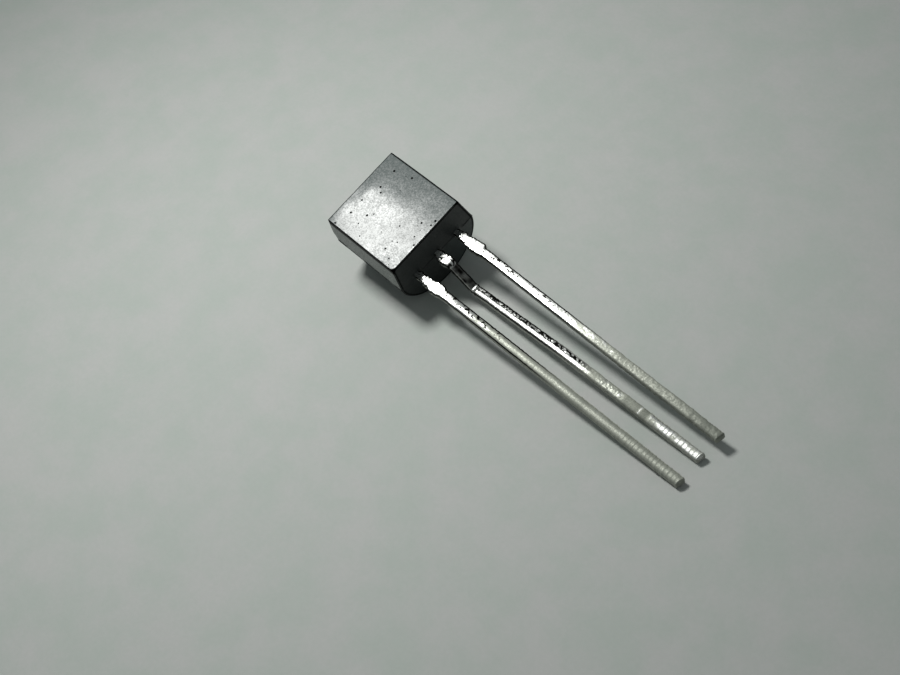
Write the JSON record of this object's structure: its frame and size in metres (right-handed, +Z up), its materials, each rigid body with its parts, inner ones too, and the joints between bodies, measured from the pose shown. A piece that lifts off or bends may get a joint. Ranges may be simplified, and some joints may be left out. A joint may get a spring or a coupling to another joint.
{
  "type": "three-lead plastic transistor",
  "caption": "Small plastic-cased transistor with a flat face, a rounded back and long tinned leads, for switching or amplifying in a circuit.",
  "frame": {"origin": "on the surface it lies on, under the middle of its overall size", "axes": "+X along the leads towards their tips, +Z up; the flat face looks up and leans towards the collector lead at -Y"},
  "size_m": [0.0196, 0.0046, 0.0047],
  "materials": {
    "case_epoxy": "satin",
    "tinned_lead": "satin",
    "silicon": "polished",
    "attach_solder": "satin",
    "bond_gold": "polished"
  },
  "bodies": {
    "root": {"epoxy_case": "case_epoxy", "collector_lead": "tinned_lead", "base_lead": "tinned_lead", "emitter_lead": "tinned_lead", "silicon_die": "silicon", "die_attach": "attach_solder", "base_wire": "bond_gold", "emitter_wire": "bond_gold"}
  },
  "joints": []
}
